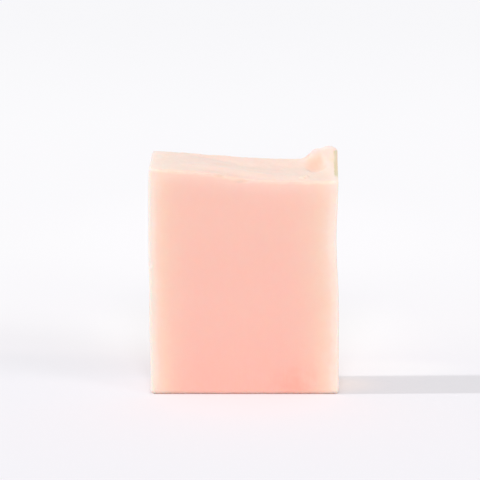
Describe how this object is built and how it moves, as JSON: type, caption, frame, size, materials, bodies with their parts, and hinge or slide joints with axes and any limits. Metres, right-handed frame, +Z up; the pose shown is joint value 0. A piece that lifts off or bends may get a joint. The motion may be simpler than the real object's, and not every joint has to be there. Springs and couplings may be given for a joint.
{
  "type": "bar of soap",
  "caption": "Hand-cut rectangular bar of soap, standing on end, with waved moulded sides, flat wire-cut faces and a swirled top drawn up to a peak at one corner.",
  "frame": {"origin": "middle of the bar's box, at the base that it stands on", "axes": "+Z up towards the swirled top; +X across the bar to the side with the peak; +Y along the loaf it was cut from, from the front cut face to the back one"},
  "size_m": [0.065, 0.026, 0.0826],
  "materials": {
    "soap": "smooth pale pink soap, slightly see-through at its edges, with a soft satin sheen"
  },
  "bodies": {
    "root": {"soap_bar": "soap"}
  },
  "joints": []
}
